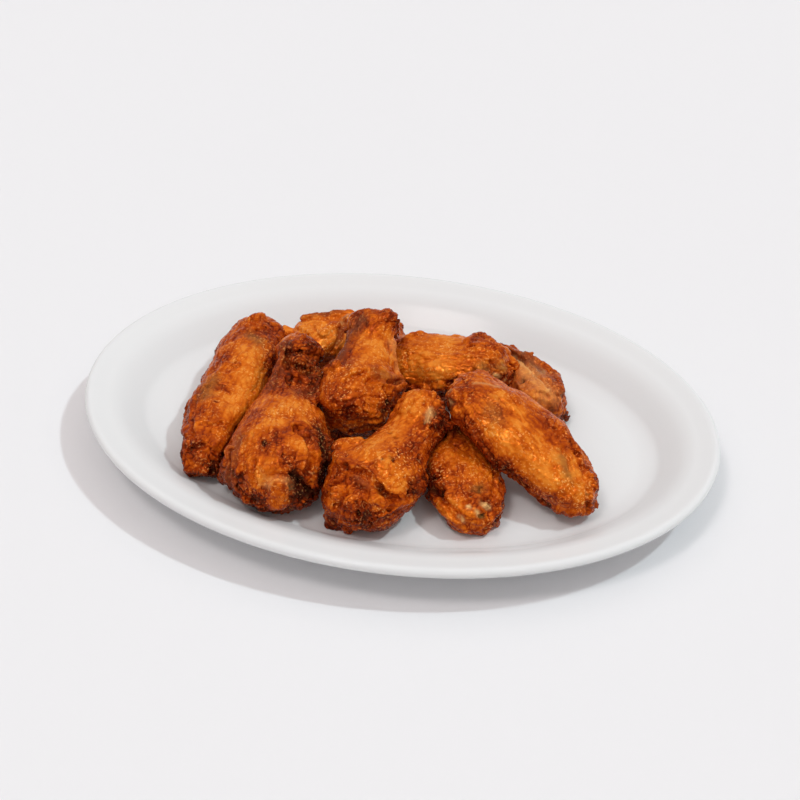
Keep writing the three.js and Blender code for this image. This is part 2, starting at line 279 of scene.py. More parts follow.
WINGS["flat_back_left"] = {
    "bone": ((-58, 33, 18), (-10, 51, 18)),
    "tone": 0.28,
    "rolls": [
        (1.9, [(303, 318), (323, 315), (342, 313), (352, 312)]), (2.6, [(350, 318), (357, 317)]),
        (2, [(283, 328), (287, 334)]), (2.6, [(322, 334), (334, 326)]), (2.4, [(322, 350), (332, 340)]),
    ],
    "creases": [
        (0.9, 1.2, [(300, 322), (322, 319), (340, 318)]), (0.8, 0.8, [(296, 329), (307, 336), (314, 347)]),
        (1, 1.4, [(345, 322), (341, 335), (333, 349)]), (0.7, 0.7, [(312, 325), (320, 336)]),
    ],
    "lumps": [
        (0.9, -1.4, [(354, 316)]), (3, 0.8, [(300, 328)]), (1, 0.7, [(330, 331)]), (1, 0.7, [(326, 344)]),
    ],
    "gold": [(0.9, 4.5, [(292, 328), (305, 325)]), (0.7, 4.5, [(323, 330), (330, 338), (322, 352)])],
    "char": [(0.9, 0.8, [(354, 316)])],
    "cream": [(0.7, 2, [(351, 318), (357, 318)])],
    "plum": [(0.7, 2.2, [(303, 317), (323, 314), (342, 312)]), (0.7, 2.5, [(343, 327), (338, 343)])],
    "gleam": [(1, 3.4, [(328, 328), (332, 338), (324, 350)]), (0.8, 1.6, [(303, 328), (306, 338)])],
}
WINGS["drumette_middle"] = {
    "bone": ((-16, 33, 44), (-17, -21, 24)),
    "tone": 0.42,
    "rolls": [
        (1.3, [(354, 330), (346, 347), (336, 361)]), (3, [(386, 313), (395, 319)]),
        (1.7, [(393, 342), (394, 356), (396, 369), (402, 381)]),
        (1.5, [(370, 369), (383, 370), (389, 376), (402, 379)]), (2.2, [(404, 387), (398, 390)]),
        (3, [(326, 372), (334, 366)]), (4, [(326, 424), (335, 437), (350, 442)]),
    ],
    "creases": [
        (0.9, 1.7, [(367, 381), (380, 379), (391, 382), (403, 382)]),
        (1, 0.9, [(365, 322), (357, 336), (351, 350), (341, 364)]),
        (0.7, 0.5, [(389, 343), (390, 356), (390, 368)]), (0.8, 1.1, [(340, 384), (352, 376), (366, 373)]),
        (0.6, 0.7, [(330, 398), (344, 390), (360, 391)]), (0.6, 0.8, [(362, 398), (376, 396), (388, 402)]),
        (0.6, 0.8, [(338, 412), (353, 407), (368, 411)]), (0.7, 0.9, [(364, 406), (378, 409), (388, 414)]),
        (0.8, 1.2, [(386, 388), (391, 399), (388, 410)]), (0.7, 1, [(345, 424), (360, 418), (378, 420)]),
        (1, 1.4, [(352, 431), (366, 428), (380, 424)]),
    ],
    "lumps": [
        (3.5, -1.5, [(401, 330)]), (1.8, -1.8, [(390, 403)]), (1.6, -1.6, [(331, 420)]),
        (2.2, 0.9, [(380, 401)]), (1.5, 0.8, [(362, 414)]), (1.5, 0.8, [(348, 416)]), (3.5, 1, [(380, 322)]),
        (2, 0.9, [(330, 404)]), (2, 1, [(353, 369)]),
    ],
    "gold": [
        (0.55, 2.8, [(346, 375), (356, 369), (364, 366)]), (0.7, 1.8, [(393, 345), (394, 360), (396, 371)]),
        (0.85, 4.5, [(374, 344), (372, 357)]), (0.55, 2, [(328, 404), (334, 409)]),
        (0.3, 4, [(366, 404), (379, 401)]), (0.6, 5, [(348, 426), (372, 422)]),
    ],
    "brown": [
        (0.8, 4.6, [(334, 382), (336, 398)]), (0.45, 5, [(342, 404), (380, 400)]),
        (0.3, 5, [(378, 318), (394, 325)]),
    ],
    "char": [
        (0.1, 2.5, [(326, 428), (334, 442)]), (0.75, 4, [(325, 372), (333, 364)]),
        (0.8, 2, [(390, 403), (384, 412)]),
    ],
    # Painted highlight along the neck.
    "cream": [(0.25, 2, [(392, 345), (394, 358), (397, 372)])],
    "plum": [
        (1, 3.6, [(360, 319), (350, 336), (344, 350), (335, 362)]),
        (0.6, 2.4, [(377, 373), (392, 378), (403, 382)]),
    ],
    "crisp": [(0.7, 3.5, [(360, 319), (350, 336), (341, 354)])],
    "gleam": [
        (0.9, 2.6, [(340, 388), (346, 402)]), (0.7, 2.6, [(352, 362), (346, 374)]),
        (0.8, 1.6, [(384, 396), (388, 404)]),
    ],
}
WINGS["drumette_front"] = {
    "bone": ((19, -6, 37), (-6, -69, 19)),
    "tone": 0.4,
    "rolls": [
        (3, [(411, 400), (405, 409)]), (2, [(424, 392), (436, 393)]),
        (3, [(440, 402), (443, 412), (438, 421)]), (3, [(446, 414), (451, 424)]),
        (2.4, [(336, 456), (340, 463)]), (2.2, [(334, 492), (334, 500)]), (3.2, [(372, 502), (381, 506)]),
        (1.7, [(346, 463), (361, 467), (373, 474), (382, 484), (390, 492), (400, 495)]),
        (1.7, [(354, 528), (371, 524), (386, 516), (400, 507), (413, 501)]), (1.8, [(344, 526), (349, 533)]),
        (4, [(330, 506), (331, 519)]), (3, [(330, 525), (343, 529)]), (3.2, [(419, 489), (426, 479)]),
        (3.2, [(334, 447), (343, 445), (356, 442)]), (2.4, [(345, 517), (338, 524)]),
    ],
    "creases": [
        (1.1, 1.7, [(347, 468), (361, 472), (371, 479), (379, 488), (387, 496), (397, 499)]),
        (0.9, 1.4, [(328, 486), (338, 484), (344, 492), (342, 503), (334, 506)]),
        (0.9, 1.3, [(362, 500), (366, 511), (378, 513), (392, 506)]), (0.5, 0.4, [(372, 446), (366, 456)]),
        (0.5, 0.45, [(389, 440), (388, 456), (391, 472)]), (0.9, 1.2, [(431, 403), (433, 416), (431, 428)]),
        (0.9, 1.3, [(355, 505), (359, 514), (354, 522)]), (0.8, 1.1, [(356, 484), (366, 490), (368, 499)]),
        (0.9, 1.4, [(405, 478), (411, 487), (408, 498)]), (0.6, 0.6, [(398, 444), (399, 460), (400, 478)]),
        (0.5, 0.5, [(405, 440), (407, 456), (408, 472)]), (0.6, 0.6, [(412, 436), (415, 452), (417, 468)]),
        (1, 1.6, [(425, 404), (424, 415), (424, 428)]), (1, 1.5, [(345, 466), (343, 480), (346, 494)]),
        (0.8, 1, [(340, 452), (346, 458), (345, 464)]), (0.8, 1, [(400, 405), (409, 411), (415, 421)]),
    ],
    "lumps": [
        (5, -1.4, [(378, 522), (396, 516)]), (4, 0.9, [(370, 452), (386, 462)]), (0.7, -1.1, [(396, 437)]),
        (0.9, -1.5, [(393, 460)]), (0.6, -0.9, [(382, 460)]), (1.4, -1.4, [(380, 489)]),
        (0.9, 0.8, [(327, 512)]), (0.9, 0.8, [(337, 512)]), (0.9, 0.8, [(446, 404)]), (1, 0.9, [(333, 501)]),
        (0.9, 0.8, [(444, 417)]), (0.7, -1, [(390, 433)]), (0.7, -1, [(396, 480)]), (1.2, -1, [(359, 514)]),
    ],
    "gold": [
        (0.75, 5, [(360, 452), (378, 452), (392, 468), (399, 487)]), (0.8, 2.6, [(376, 504), (381, 507)]),
        (0.8, 5, [(411, 404), (402, 420), (392, 436)]), (0.7, 1.6, [(334, 493), (333, 500)]),
        (0.8, 1.6, [(346, 529), (349, 533)]), (0.35, 4, [(335, 490), (337, 515)]),
        (0.7, 2, [(337, 458), (340, 464)]),
    ],
    "brown": [
        (0.9, 4.5, [(413, 487), (424, 478)]), (0.8, 4, [(441, 404), (443, 418)]),
        (0.6, 3, [(415, 445), (421, 460)]),
    ],
    "char": [
        (0.95, 3.2, [(448, 416), (453, 426)]), (0.5, 1.4, [(378, 487), (386, 495)]), (0.5, 2, [(438, 425)]),
        (0.4, 1.6, [(358, 513), (368, 515)]), (0.4, 3, [(414, 490), (424, 484)]), (0.9, 0.7, [(396, 437)]),
        (0.9, 0.7, [(390, 433)]), (0.9, 0.9, [(393, 460)]), (0.9, 0.6, [(382, 460)]),
    ],
    "cream": [(0.6, 1.2, [(430, 408), (427, 421)])],
    "plum": [(0.5, 2, [(357, 478), (366, 484)])],
    "crisp": [
        (0.3, 6, [(332, 488), (336, 505), (340, 522)]), (0.7, 4.5, [(416, 488), (424, 480)]),
        (0.7, 5, [(436, 397), (443, 412)]), (0.3, 5, [(360, 518), (395, 506)]),
    ],
    "gleam": [
        (1, 1.4, [(336, 456), (340, 463)]), (1, 1.4, [(333, 492), (334, 502)]),
        (0.8, 2, [(368, 504), (380, 508)]), (0.6, 3, [(398, 450), (400, 476)]),
    ],
}
WINGS["flat_front"] = {
    "bone": ((24, -3, 20), (46, -55, 14)),
    "tone": 0.42,
    "rolls": [
        (3, [(453, 422), (451, 431)]),
        (2.2, [(427, 497), (433, 498), (440, 505), (447, 514), (456, 523), (466, 531)]),
        (2.4, [(500, 475), (503, 488), (500, 501)]), (2.6, [(498, 513), (488, 522)]), (2.2, [(481, 488)]),
        (2.6, [(466, 514), (478, 522)]),
    ],
    "creases": [
        (0.8, 1.1, [(462, 505), (471, 503), (482, 505), (489, 512), (487, 522)]),
        (1.1, 1.8, [(434, 490), (440, 497), (449, 507), (459, 516)]),
        (0.8, 1.2, [(472, 496), (480, 500), (491, 499), (497, 507)]),
        (0.8, 1.2, [(494, 470), (496, 484), (493, 498)]), (0.6, 0.6, [(455, 450), (453, 470), (455, 488)]),
        (0.6, 0.5, [(470, 448), (474, 462), (472, 478)]),
    ],
    "lumps": [
        (1.9, -2.8, [(440, 493)]), (1.5, -1.5, [(480, 490)]), (1.3, -1.6, [(482, 516)]),
        (0.8, 0.9, [(468, 508)]), (0.9, 0.8, [(486, 506)]), (0.9, 0.9, [(462, 518)]), (5, 0.8, [(462, 462)]),
        (0.8, 0.8, [(458, 516)]), (0.9, 0.9, [(477, 513)]),
    ],
    "gold": [
        (0.9, 1.8, [(428, 498), (440, 506), (450, 518), (464, 530)]), (0.6, 3, [(468, 518), (478, 526)]),
        (0.5, 6, [(452, 455), (470, 462), (475, 475)]),
    ],
    "brown": [
        (0.9, 4, [(500, 474), (502, 492), (498, 512)]), (0.6, 4, [(472, 495), (488, 500)]),
        (0.5, 3, [(434, 470), (436, 482)]),
    ],
    "char": [
        # The first char row here is painted shadow in the gap between pieces.
        (0.9, 3, [(453, 422), (451, 431)]), (0.95, 2.2, [(440, 493)]), (0.8, 0.7, [(480, 491)]),
        (0.8, 0.6, [(483, 516)]),
    ],
    "cream": [
        (0.8, 1, [(485, 506), (488, 507)]), (0.9, 0.9, [(468, 508)]), (0.7, 0.8, [(458, 516)]),
        (0.8, 0.9, [(477, 513)]), (0.9, 1, [(462, 518)]),
    ],
    "olive": [(0.8, 2.2, [(480, 489)]), (0.9, 1.2, [(482, 516)])],
    "crisp": [(0.6, 5, [(470, 512), (488, 512)])],
    "gleam": [(0.7, 3, [(436, 466), (440, 480)])],
}
WINGS["flat_right_front"] = {
    "bone": ((25, 1, 43), (88, -33, 17)),
    "tone": 0.36,
    "rolls": [
        (2.3, [(566, 430), (576, 445), (585, 461), (592, 474), (596, 488)]), (2.6, [(590, 499), (592, 508)]),
        (3, [(556, 509), (575, 512), (594, 507)]), (2.7, [(453, 391), (455, 399)]),
        (2.6, [(456, 408), (456, 418)]),
        (1.6, [(466, 420), (474, 436), (486, 452), (500, 467), (518, 482), (536, 497), (550, 508)]),
    ],
    "creases": [
        (0.8, 0.9, [(471, 424), (480, 440), (492, 455), (507, 469), (526, 485), (543, 500)]),
        (0.9, 1.1, [(556, 430), (562, 444), (567, 458), (572, 470)]),
        (0.9, 1.3, [(588, 490), (587, 499), (584, 511)]), (0.9, 1.2, [(458, 388), (461, 397), (459, 407)]),
        (0.6, 0.4, [(500, 398), (516, 414), (532, 434)]), (0.6, 0.4, [(509, 396), (526, 413), (545, 435)]),
        (0.6, 0.4, [(494, 408), (508, 426), (524, 444)]), (0.5, 0.4, [(540, 440), (552, 456), (562, 474)]),
        (0.8, 0.9, [(576, 452), (582, 466), (586, 479)]),
    ],
    "lumps": [
        (7, -2.2, [(468, 378), (490, 374), (508, 380)]), (7, -2.6, [(578, 438), (592, 462)]),
        (6, 0.9, [(520, 430), (545, 458)]), (1.3, 0.7, [(572, 482)]), (1.3, 0.7, [(564, 490)]),
        (1.3, 0.7, [(577, 492)]), (1.2, 0.7, [(569, 500)]), (1.2, 0.6, [(581, 482)]), (1, 0.6, [(560, 480)]),
        (1, -1.2, [(571, 440)]),
    ],
    "gold": [
        (0.65, 3.2, [(506, 400), (528, 424), (548, 450), (562, 470)]),
        (0.5, 4.5, [(497, 430), (520, 455), (545, 478)]), (0.35, 4, [(556, 506), (580, 506), (594, 494)]),
    ],
    "brown": [
        (0.6, 3, [(466, 416), (478, 440), (500, 464), (530, 490), (552, 508)]),
        (0.6, 3.4, [(568, 434), (580, 455), (592, 478), (594, 490)]), (0.6, 3.5, [(463, 384), (470, 398)]),
        (0.15, 5, [(565, 490), (578, 500)]),
    ],
    "char": [(0.7, 1.2, [(571, 441)])],
    "cream": [(0.75, 1.6, [(451, 391), (453, 401)]), (0.3, 0.8, [(474, 379), (488, 381), (499, 385)])],
    "olive": [
        (0.6, 1.9, [(562, 458), (569, 477)]), (0.35, 3, [(492, 408), (496, 420)]),
        (0.8, 1, [(588, 494), (585, 510)]),
    ],
    "gleam": [(0.8, 5, [(560, 486), (576, 492), (582, 502)]), (0.6, 3, [(484, 418), (500, 440)])],
}
WINGS["flat_back"] = {
    "bone": ((-20, 29, 18), (43, 28, 27)),
    "tone": 0.3,
    "rolls": [
        (2, [(468, 341), (476, 337), (484, 335), (492, 341), (503, 351)]),
        (0.9, [(436, 357), (452, 356), (468, 356), (484, 357)]), (2.8, [(481, 368)]), (2.6, [(504, 371)]),
        (3.4, [(413, 388), (430, 390), (443, 388)]), (2.2, [(402, 340), (412, 335), (420, 333)]),
        (2, [(514, 360), (518, 370), (515, 381)]), (1.2, [(424, 389), (436, 385)]),
    ],
    "creases": [
        (1.2, 0.6, [(424, 361), (445, 360), (463, 360), (474, 361)]),
        (1, 1.5, [(403, 383), (420, 386), (441, 385), (457, 382)]),
        (0.9, 1.2, [(468, 347), (482, 346), (496, 350)]), (0.9, 1.2, [(491, 362), (494, 370), (492, 378)]),
        (0.9, 1.3, [(510, 362), (513, 370), (510, 380)]), (0.8, 0.4, [(404, 350), (408, 362), (406, 374)]),
    ],
    "lumps": [
        (5, 1, [(430, 370), (450, 370)]), (1.2, -1.2, [(481, 369)]), (0.9, -1.3, [(508, 370)]),
        (0.9, 0.8, [(499, 377)]), (0.8, 0.8, [(505, 379)]), (0.8, 0.8, [(496, 375)]),
        (0.8, 0.7, [(509, 356)]),
    ],
    "gold": [
        (0.2, 4.5, [(480, 362), (495, 366), (512, 372)]), (0.65, 5, [(410, 372), (430, 368), (455, 366)]),
        (0.8, 0.8, [(508, 356), (500, 362)]), (0.7, 4, [(425, 343), (450, 347)]),
    ],
    "brown": [
        (0.8, 3.5, [(470, 342), (484, 338), (496, 346)]), (0.9, 4, [(410, 390), (430, 392), (446, 390)]),
        (0.6, 3, [(400, 342), (404, 356)]),
    ],
    "char": [(0.8, 0.6, [(481, 369)]), (0.9, 0.7, [(509, 368), (508, 374)])],
    "cream": [(0.8, 1, [(499, 377), (496, 375)]), (0.7, 0.8, [(505, 380)])],
    "olive": [(1, 2.4, [(481, 368)]), (1, 2.4, [(503, 368)])],
    "crisp": [(0.35, 4, [(494, 352), (508, 362), (514, 378)])],
    "gleam": [(0.8, 2.4, [(444, 344), (460, 350)]), (0.6, 2, [(404, 352), (402, 366)])],
}
WINGS["drumette_back_right"] = {
    "bone": ((32, 55, 16), (63, 12, 17)),
    "tone": 0.48,
    "rolls": [
        (2.4, [(492, 343), (510, 349), (526, 355), (541, 364), (555, 374)]), (0.9, [(530, 357), (532, 353)]),
        (3.4, [(557, 378), (559, 393)]), (1.9, [(564, 412), (566, 419)]), (3.4, [(552, 402), (559, 410)]),
    ],
    "creases": [
        (0.9, 1.3, [(500, 348), (518, 358), (534, 371), (548, 386)]),
        (0.9, 1.4, [(548, 381), (554, 389), (557, 398)]), (0.8, 0.9, [(535, 393), (548, 396), (560, 404)]),
        (0.6, 0.5, [(527, 366), (540, 379), (548, 394)]), (1, 1.4, [(513, 386), (524, 398), (538, 409)]),
    ],
    "lumps": [
        (5, -1.2, [(500, 340), (518, 345)]), (1, -1.2, [(523, 380)]), (4, 0.9, [(534, 382)]),
        (1, 0.8, [(568, 417)]),
    ],
    "gold": [(0.8, 5, [(524, 368), (536, 380), (545, 390)]), (0.5, 4, [(545, 402), (558, 410)])],
    "brown": [(0.7, 3.5, [(556, 380), (558, 394)])],
    "char": [(0.8, 1.8, [(566, 417)]), (0.6, 1.5, [(523, 380)])],
    "cream": [
        (0.5, 1.6, [(498, 350), (518, 362), (534, 374), (548, 390)]),
        (0.25, 6, [(526, 368), (538, 382), (548, 394)]),
    ],
    "plum": [(0.85, 3, [(494, 341), (512, 349), (526, 357), (540, 369)])],
    "crisp": [(0.45, 4, [(552, 380), (560, 396), (564, 414)])],
}


def camera_direction(azimuth, elevation):
    """Unit vector from what is looked at to the eye."""
    a, e = math.radians(azimuth), math.radians(elevation)
    return Vector((math.sin(a) * math.cos(e), -math.cos(a) * math.cos(e), math.sin(e)))


TO_CAMERA = camera_direction(CAMERA_AZIMUTH, CAMERA_ELEVATION)
EYE = Vector(CAMERA_AIM) + TO_CAMERA * CAMERA_DISTANCE


def photo_ray(u, v):
    """The direction in which the eye sees a place of the photo."""
    right = Vector((0, 0, 1)).cross(TO_CAMERA).normalized()
    up = TO_CAMERA.cross(right)
    focal = LENS / SENSOR * PHOTO_SIZE
    half = PHOTO_SIZE / 2
    return (right * ((u - half) / focal) - up * ((v - half) / focal) - TO_CAMERA).normalized()


class Solid:
    """A piece's smoothed solid, in millimetres, to find places on."""

    def __init__(self, verts, polygons):
        self.tree = BVHTree.FromPolygons(verts, polygons)
        self.centre = sum(verts, Vector()) / len(verts)

    def seen(self, place):
        """Where a photo place lies on the piece, or beside it where that line of sight passes it closest."""
        direction = photo_ray(*place)
        hit = self.tree.ray_cast(EYE, direction)[0]
        if hit is not None:
            return hit
        near = self.centre
        for _ in range(CLOSING_STEPS):
            near = self.tree.find_nearest(EYE + direction * (near - EYE).dot(direction))[0]
        off = EYE + direction * (near - EYE).dot(direction) - near
        return near + off * min(1, REACH / max(off.length, 0.001))

    def path(self, places):
        return [self.seen(place) for place in places]


def make_mesh(name, verts, faces):
    mesh = bpy.data.meshes.new(name)
    mesh.from_pydata(verts, [], faces)
    mesh.update()
    return mesh


def make_object(name, data):
    obj = bpy.data.objects.new(name, data)
    bpy.context.scene.collection.objects.link(obj)
    return obj


def evaluated_mesh(obj):
    """A mesh with the object's modifiers applied; the object itself is dropped."""
    bpy.context.view_layer.update()
    mesh = bpy.data.meshes.new_from_object(obj.evaluated_get(bpy.context.evaluated_depsgraph_get()))
    source = obj.data
    bpy.data.objects.remove(obj)
    bpy.data.meshes.remove(source)
    return mesh


def turn_smooth(mesh):
    mesh.polygons.foreach_set("use_smooth", np.ones(len(mesh.polygons), bool))


def chance(grid, seed):
    """Repeatable random numbers from 0 to 1 for places of a whole-number grid."""
    h = (grid[:, 0] * 73856093) ^ (grid[:, 1] * 19349663) ^ (grid[:, 2] * 83492791) ^ (seed * 40503)
    h = ((h ^ (h >> 13)) * 1274126177) & 0xFFFFFFFF
    h = ((h ^ (h >> 15)) * 73244475) & 0xFFFFFFFF
    return ((h ^ (h >> 16)) & 0xFFFF) / 65535


def noise(points, size, seed):
    """Smooth noise from -1 to 1, one hollow or swelling for each stretch of that size."""
    points = points / size
    cell = np.floor(points).astype(np.int64)
    part = points - cell
    ease = part**3 * (part * (part * 6 - 15) + 10)
    total = np.zeros(len(points))
    for corner in np.ndindex(2, 2, 2):
        weight = np.prod(np.where(corner, ease, 1 - ease), axis=1)
        total += weight * chance(cell + np.array(corner), seed)
    return 2 * total - 1


def domes(points, size, foot, seed):
    """How deep each point lies below the tops of domes scattered one to each cube of that size."""
    points = points / size
    base = np.floor(points).astype(np.int64)
    best = np.full(len(points), foot)
    for step in np.ndindex(3, 3, 3):
        cell = base + np.array(step) - 1
        centre = cell + np.stack([chance(cell, seed + axis) for axis in range(3)], axis=1)
        best = np.minimum(best, np.linalg.norm(points - centre, axis=1))
    return best**2


def warped(points, size, amount, seed):
    """Points shifted about, so that noise taken there runs crooked."""
    shift = np.stack([noise(points, size, seed + axis) for axis in range(3)], axis=1)
    return points + amount * shift


def grooves(points, size, width, seed):
    """1 on thin lines that wander through the skin, and 0 away from them."""
    return np.exp(-((noise(points, size, seed) / width) ** 2))


def along_bone(points, bone, stretch):
    """Points squeezed along the bone line: noise there runs along it, or round it if stretch is below 1."""
    tail, head = (np.array(end, float) for end in bone)
    line = (head - tail) / np.linalg.norm(head - tail)
    along = (points - tail) @ line
    return points - line * (along * (1 - 1 / stretch))[:, None]


def path_distance(points, path):
    """Distance of each point to a path of straight stretches."""
    path = [np.array(spot) for spot in path]
    best = np.linalg.norm(points - path[0], axis=1)
    for a, b in zip(path[:-1], path[1:]):
        line = b - a
        share = np.clip((points - a) @ line / max(line @ line, 1e-9), 0, 1)
        best = np.minimum(best, np.linalg.norm(points - a - share[:, None] * line, axis=1))
    return best


class Skin:
    """A closed mesh whose points are moved in and out, in millimetres."""

    def __init__(self, mesh):
        count = len(mesh.vertices)
        places = np.empty(count * 3)
        mesh.vertices.foreach_get("co", places)
        self.mesh = mesh
        self.points = places.reshape(-1, 3) / MM
        ends = np.empty(len(mesh.edges) * 2, np.int64)
        mesh.edges.foreach_get("vertices", ends)
        self.edges = ends.reshape(-1, 2)
        mesh.calc_loop_triangles()
        corners = np.empty(len(mesh.loop_triangles) * 3, np.int64)
        mesh.loop_triangles.foreach_get("vertices", corners)
        self.triangles = corners.reshape(-1, 3)
        self.degree = np.bincount(ends, minlength=count).astype(float)

    def normals(self):
        a, b, c = (self.points[self.triangles[:, k]] for k in range(3))
        face = np.cross(b - a, c - a)
        total = np.zeros_like(self.points)
        for corner in range(3):
            for axis in range(3):
                total[:, axis] += np.bincount(self.triangles[:, corner], face[:, axis], len(total))
        return total / np.maximum(np.linalg.norm(total, axis=1, keepdims=True), 1e-12)

    def neighbour_mean(self, values):
        first, second = self.edges[:, 0], self.edges[:, 1]
        total = np.bincount(first, weights=values[second], minlength=len(values))
        total += np.bincount(second, weights=values[first], minlength=len(values))
        return total / self.degree

    def blur(self, values, times):
        for _ in range(times):
            values = 0.5 * values + 0.5 * self.neighbour_mean(values)
        return values

    def smooth(self, times):
        for _ in range(times):
            mean = np.stack([self.neighbour_mean(self.points[:, axis]) for axis in range(3)], axis=1)
            self.points = 0.5 * self.points + 0.5 * mean

    def push(self, amount):
        self.points = self.points + self.normals() * amount[:, None]

    def attribute(self, name, values):
        layer = self.mesh.attributes.new(name, "FLOAT", "POINT")
        layer.data.foreach_set("value", np.ascontiguousarray(np.clip(values, 0, 1), dtype=np.float32))

    def write(self):
        self.mesh.vertices.foreach_set("co", (self.points * MM).ravel())
        turn_smooth(self.mesh)
        self.mesh.update()


def smooth_solid(name):
    """A smooth mesh of a piece's solid."""
    work = bmesh.new()
    work.from_mesh(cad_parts[name].data)
    bmesh.ops.remove_doubles(work, verts=work.verts, dist=WELD_GAP * MM)
    bmesh.ops.join_triangles(
        work, faces=work.faces, angle_face_threshold=ANY_ANGLE, angle_shape_threshold=ANY_ANGLE
    )
    mesh = bpy.data.meshes.new(name + "_base")
    work.to_mesh(mesh)
    work.free()
    base = make_object(name + "_base", mesh)
    smoothing = base.modifiers.new("smooth", "SUBSURF")
    smoothing.levels = SMOOTH_LEVELS
    smoothing.render_levels = SMOOTH_LEVELS
    return evaluated_mesh(base)


def ball_mesh():
    """Corners and triangles of a ball of radius 1."""
    work = bmesh.new()
    bmesh.ops.create_icosphere(work, subdivisions=2, radius=1)
    verts = np.array([v.co for v in work.verts])
    faces = np.array([[v.index for v in f.verts] for f in work.faces])
    work.free()
    return verts, faces


BALL = ball_mesh()


def roll_balls(solid, radius, path, draw):
    """A thick fold or lobe as a row of uneven balls, half sunk in the skin: their middles and radii."""
    balls = []
    beads = [path[0]]
    for a, b in zip(path[:-1], path[1:]):
        count = max(1, math.ceil((b - a).length / (radius * BEAD_GAP)))
        beads += [a.lerp(b, (k + 1) / count) for k in range(count)]
    for bead in beads:
        skin_point = solid.tree.find_nearest(bead)[0]
        size = radius * draw.uniform(*BEAD_SIZES)
        sunk = skin_point + (solid.centre - skin_point).normalized() * radius * BEAD_SINK
        stand = bead + (sunk - skin_point)
        links = max(1, math.ceil((stand - sunk).length / (radius * LINK_GAP)))
        balls += [(sunk.lerp(stand, (k + 1) / links), size) for k in range(links)]
    return balls


def with_balls(verts, faces, balls):
    """One mesh, in metres, of a piece's smoothed solid and the balls that are added to it."""
    ball_verts, ball_faces = BALL
    for spot, size in balls:
        faces = faces + (ball_faces + len(verts)).tolist()
        verts = verts + [tuple(corner * size + np.array(spot)) for corner in ball_verts]
    return make_mesh("joined", [tuple(c * MM for c in v) for v in verts], faces)


def any_direction(draw):
    return Vector((draw.uniform(-1, 1), draw.uniform(-1, 1), draw.uniform(-1, 1)))


def hidden_spots(solid, draw, count):
    """Short paths on the sides of a piece that the photo doesn't show."""
    spots = []
    while len(spots) < count:
        start = solid.centre + any_direction(draw).normalized() * HIDDEN_START
        scatter = (draw.uniform(-HIDDEN_SCATTER, HIDDEN_SCATTER) for _ in range(2))
        start += Vector((*scatter, 0))
        hit, normal = solid.tree.find_nearest(start)[:2]
        if normal.dot(TO_CAMERA) < HIDDEN_FACING:
            turn = normal.cross(any_direction(draw))
            end = solid.tree.find_nearest(hit + turn.normalized() * draw.uniform(*HIDDEN_LENGTHS))[0]
            spots.append([hit, end])
    return spots


def base_skin(name, wing, draw):
    """The piece before its relief: its solid with the rolls joined to it, as one even mesh."""
    mesh = smooth_solid(name)
    verts = [v.co / MM for v in mesh.vertices]
    faces = [tuple(p.vertices) for p in mesh.polygons]
    solid = Solid(verts, faces)
    balls = []
    for radius, places in wing["rolls"]:
        balls += roll_balls(solid, radius, solid.path(places), draw)
    hidden = hidden_spots(solid, draw, HIDDEN_FOLDS)
    raised = HIDDEN_FOLDS // 2
    for path in hidden[:raised]:
        balls += roll_balls(solid, draw.uniform(*HIDDEN_RADII), path, draw)
    joined = make_object(name + "_joined", with_balls([tuple(v) for v in verts], faces, balls))
    grain = joined.modifiers.new("grain", "REMESH")
    grain.mode = "VOXEL"
    grain.voxel_size = VOXEL * MM
    skin = Skin(evaluated_mesh(joined))
    skin.smooth(BLEND_STEPS)
    return skin, solid, hidden[raised:]


def tint_weights(skin, solid, wing):
    """How strongly each colour of the tints lies on each point."""
    weights = {}
    ragged = 1 + 0.4 * noise(skin.points, size=4, seed=91) + 0.3 * noise(skin.points, size=1.5, seed=92)
    for colour in TINTS:
        weights[colour] = np.zeros(len(skin.points))
        for weight, spread, places in wing.get(colour, []):
            gap = path_distance(skin.points, solid.path(places)) * ragged
            weights[colour] = np.maximum(weights[colour], weight * np.exp(-((gap / spread) ** 2)))
    return weights


def carve(skin, solid, wing, hidden):
    """Presses the creases in and the lumps out; a crease has a low bank on each side."""
    height = np.zeros(len(skin.points))
    crooked = warped(skin.points, size=4, amount=0.9, seed=71)
    creases = [(*size, CREASE_BANK, solid.path(places)) for *size, places in wing["creases"]]
    creases += [(1, HIDDEN_DEPTH, HIDDEN_BANK, path) for path in hidden]
    for width, depth, bank, path in creases:
        gap = path_distance(crooked, path) / width
        height -= depth * (np.exp(-(gap**2)) - bank * np.exp(-((gap - 2) ** 2)))
    for spread, rise, places in wing["lumps"]:
        gap = path_distance(crooked, solid.path(places)) / spread
        height += rise * np.exp(-(gap**2))
    skin.push(height)
    return height


def by_roughness(amounts, rough):
    soft, more = amounts
    return soft + more * rough


def crumple(skin, rough, seed):
    """Gives the whole piece its uneven form: broad lumps, and folds where it is rough."""
    crooked = warped(skin.points, size=9, amount=3.0, seed=seed)
    height = SWELLING * noise(skin.points, 10, seed + 3) + DENTS * noise(crooked, 5.5, seed + 4)
    height *= by_roughness(FORM_SHARE, rough)
    height -= FOLD_DEPTH * grooves(crooked, size=9, width=0.13, seed=seed + 5) * rough
    skin.push(height)
    return height


